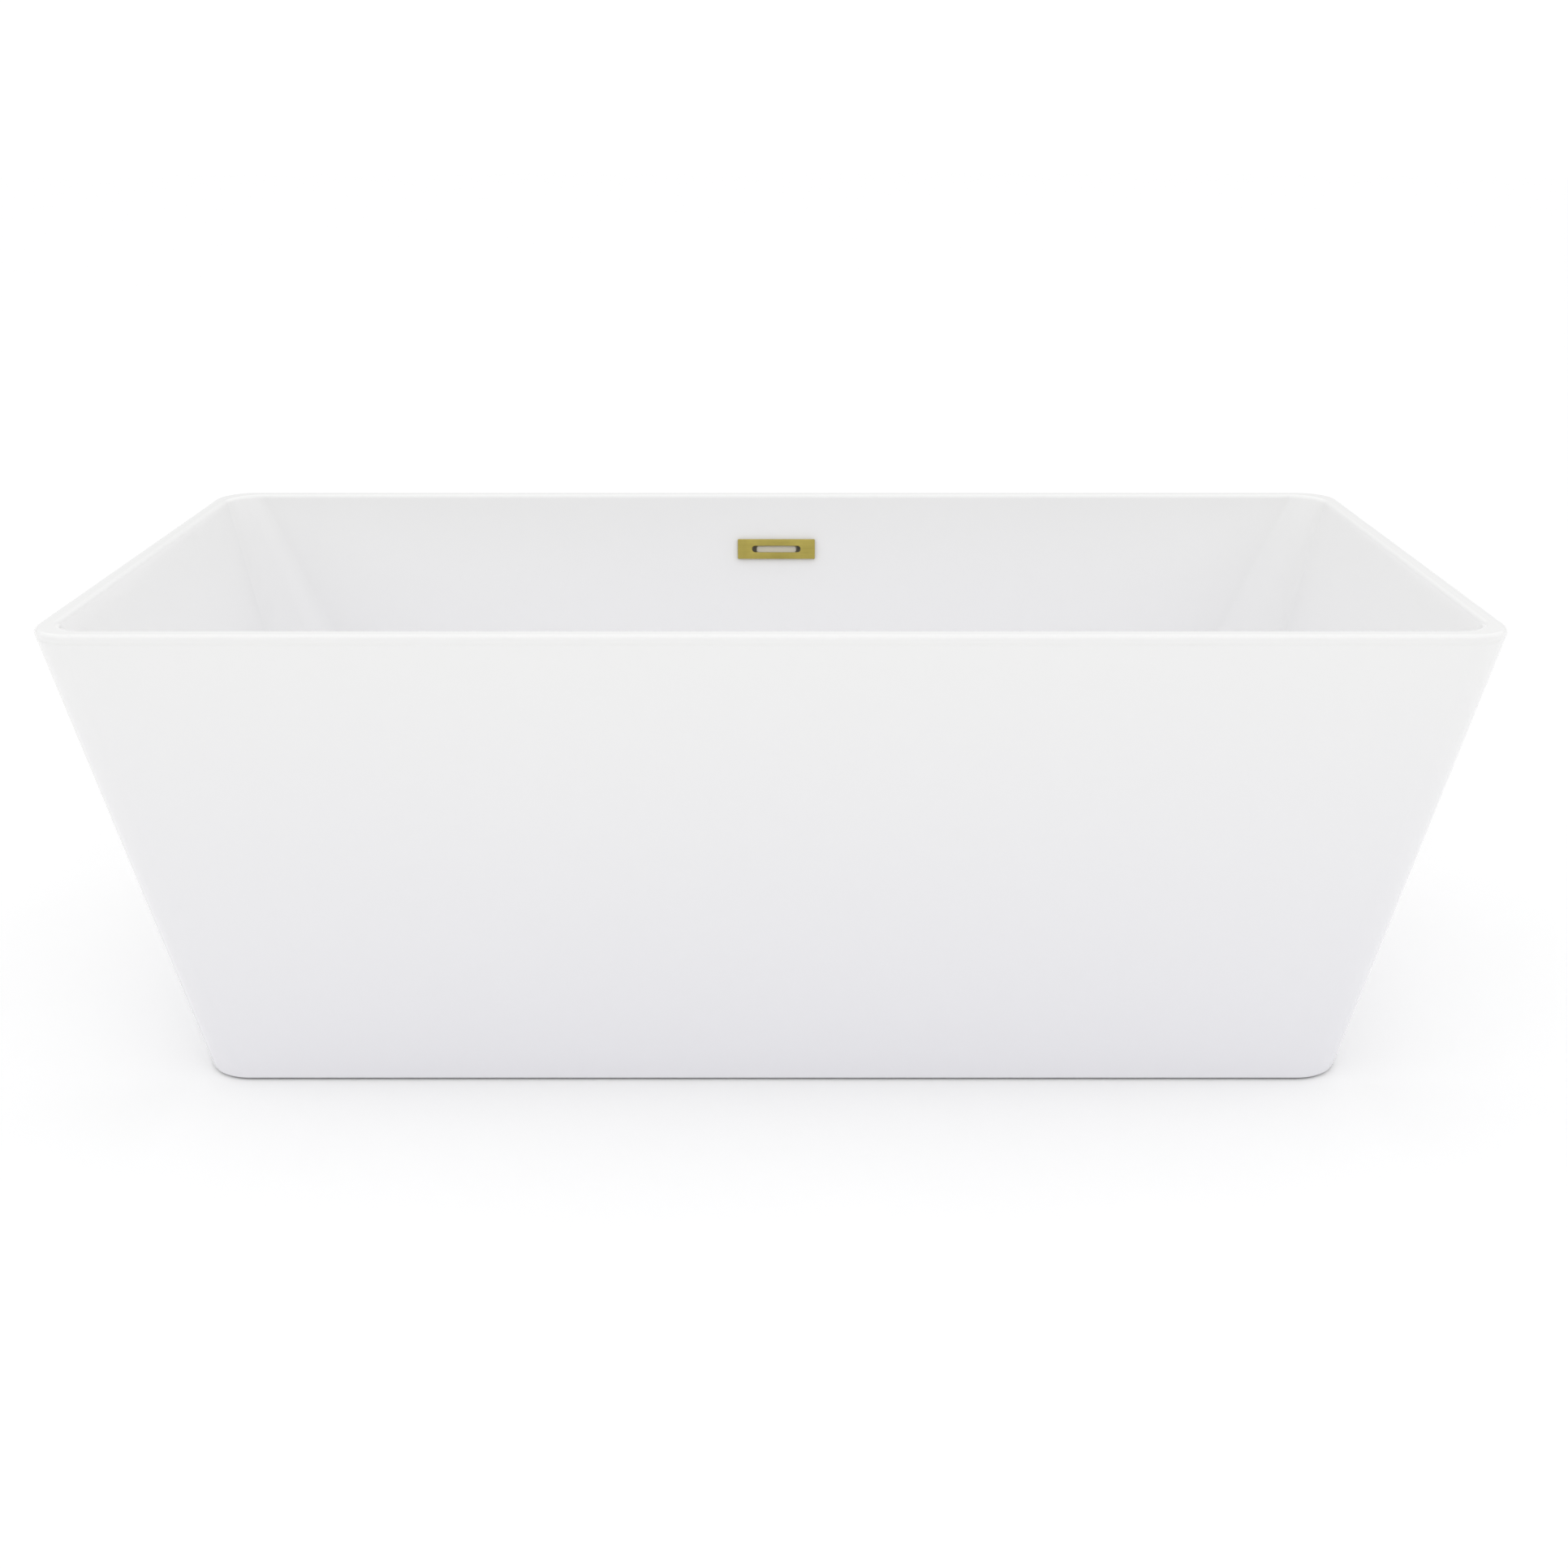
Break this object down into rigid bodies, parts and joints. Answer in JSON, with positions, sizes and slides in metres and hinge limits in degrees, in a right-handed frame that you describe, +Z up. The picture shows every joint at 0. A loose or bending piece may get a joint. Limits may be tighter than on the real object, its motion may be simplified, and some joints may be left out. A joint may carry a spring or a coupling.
{
  "type": "freestanding bathtub",
  "caption": "Rectangular freestanding acrylic bathtub with flared sides, a slotted brushed brass overflow, press-to-open waste and screw feet under a hidden steel frame.",
  "frame": {"origin": "on the floor, in the middle of the tub's footprint", "axes": "+X along the tub, +Y towards the wall with the overflow, +Z up"},
  "size_m": [1.6998, 0.8, 0.6],
  "materials": {
    "acrylic": "glossy white sanitary acrylic",
    "laminate": "raw glass-fibre laminate",
    "filler": "white seam filler, polished flush",
    "board": "raw chipboard",
    "timber": "raw softwood",
    "frame_steel": "grey powder coat",
    "zinc_steel": "bright zinc plate",
    "rubber": "black EPDM",
    "brass": "horizontally brushed brass",
    "white_plastic": "moulded white ABS",
    "black_plastic": "moulded black polyamide",
    "hose": "pale grey flexible PVC"
  },
  "bodies": {
    "tub": {"basin": "acrylic", "skirt": "acrylic", "basin_backing": "laminate", "skirt_backing": "laminate", "rim_seam": "filler", "base_board": "board", "skirt_block_front_left": "timber", "skirt_block_front_right": "timber", "skirt_block_rear_left": "timber", "skirt_block_rear_right": "timber", "cross_rail_left": "frame_steel", "cross_rail_right": "frame_steel", "cross_rail_mid_left": "frame_steel", "cross_rail_mid_right": "frame_steel", "frame_rail_front": "frame_steel", "frame_rail_rear": "frame_steel", "skirt_bracket_front_left": "zinc_steel", "skirt_bracket_front_right": "zinc_steel", "skirt_bracket_rear_left": "zinc_steel", "skirt_bracket_rear_right": "zinc_steel", "foot_locknut_front_left": "zinc_steel", "foot_locknut_front_right": "zinc_steel", "foot_locknut_rear_left": "zinc_steel", "foot_locknut_rear_right": "zinc_steel", "stopper_spring": "zinc_steel", "hose_clip_upper": "zinc_steel", "hose_clip_lower": "zinc_steel", "waste_gasket_upper": "rubber", "waste_gasket_lower": "rubber", "waste_slip_washer": "rubber", "overflow_gasket": "rubber", "overflow_plate": "brass", "waste_flange": "brass", "waste_back_nut": "brass", "waste_body": "white_plastic", "waste_tailpiece": "white_plastic", "stopper_barrel": "white_plastic", "overflow_body": "white_plastic", "rail_plug_front_left": "black_plastic", "rail_plug_front_right": "black_plastic", "rail_plug_rear_left": "black_plastic", "rail_plug_rear_right": "black_plastic", "waste_slip_nut": "black_plastic", "overflow_hose": "hose"},
    "stopper": {"stopper_cap": "brass", "stopper_seal": "rubber", "stopper_stem": "zinc_steel"},
    "foot_front_left": {"foot_pad_front_left": "black_plastic"},
    "stud_front_left": {"foot_stud_front_left": "zinc_steel"},
    "foot_front_right": {"foot_pad_front_right": "black_plastic"},
    "stud_front_right": {"foot_stud_front_right": "zinc_steel"},
    "foot_rear_left": {"foot_pad_rear_left": "black_plastic"},
    "stud_rear_left": {"foot_stud_rear_left": "zinc_steel"},
    "foot_rear_right": {"foot_pad_rear_right": "black_plastic"},
    "stud_rear_right": {"foot_stud_rear_right": "zinc_steel"}
  },
  "joints": [
    {"name": "stopper_lift", "type": "slide", "parent": "tub", "child": "stopper", "axis": [0, 0, 1], "range_m": [0, 0.01], "deforming": ["stopper_spring"]},
    {"name": "foot_front_left_height", "type": "slide", "parent": "tub", "child": "foot_front_left", "axis": [0, 0, 1], "range_m": [-0.02, 0.01]},
    {"name": "foot_front_left_turn", "type": "hinge", "parent": "foot_front_left", "child": "stud_front_left", "pos_m": [-0.56, -0.24, 0.05], "axis": [0, 0, 1], "range_deg": [-4300, 2150]},
    {"name": "foot_front_right_height", "type": "slide", "parent": "tub", "child": "foot_front_right", "axis": [0, 0, 1], "range_m": [-0.02, 0.01]},
    {"name": "foot_front_right_turn", "type": "hinge", "parent": "foot_front_right", "child": "stud_front_right", "pos_m": [0.56, -0.24, 0.05], "axis": [0, 0, 1], "range_deg": [-4300, 2150]},
    {"name": "foot_rear_left_height", "type": "slide", "parent": "tub", "child": "foot_rear_left", "axis": [0, 0, 1], "range_m": [-0.02, 0.01]},
    {"name": "foot_rear_left_turn", "type": "hinge", "parent": "foot_rear_left", "child": "stud_rear_left", "pos_m": [-0.56, 0.24, 0.05], "axis": [0, 0, 1], "range_deg": [-4300, 2150]},
    {"name": "foot_rear_right_height", "type": "slide", "parent": "tub", "child": "foot_rear_right", "axis": [0, 0, 1], "range_m": [-0.02, 0.01]},
    {"name": "foot_rear_right_turn", "type": "hinge", "parent": "foot_rear_right", "child": "stud_rear_right", "pos_m": [0.56, 0.24, 0.05], "axis": [0, 0, 1], "range_deg": [-4300, 2150]}
  ],
  "couplings": [
    {"joint": "foot_front_left_turn", "follows": "foot_front_left_height", "rad_per_m": 3590.4},
    {"joint": "foot_front_right_turn", "follows": "foot_front_right_height", "rad_per_m": 3590.4},
    {"joint": "foot_rear_left_turn", "follows": "foot_rear_left_height", "rad_per_m": 3590.4},
    {"joint": "foot_rear_right_turn", "follows": "foot_rear_right_height", "rad_per_m": 3590.4}
  ]
}
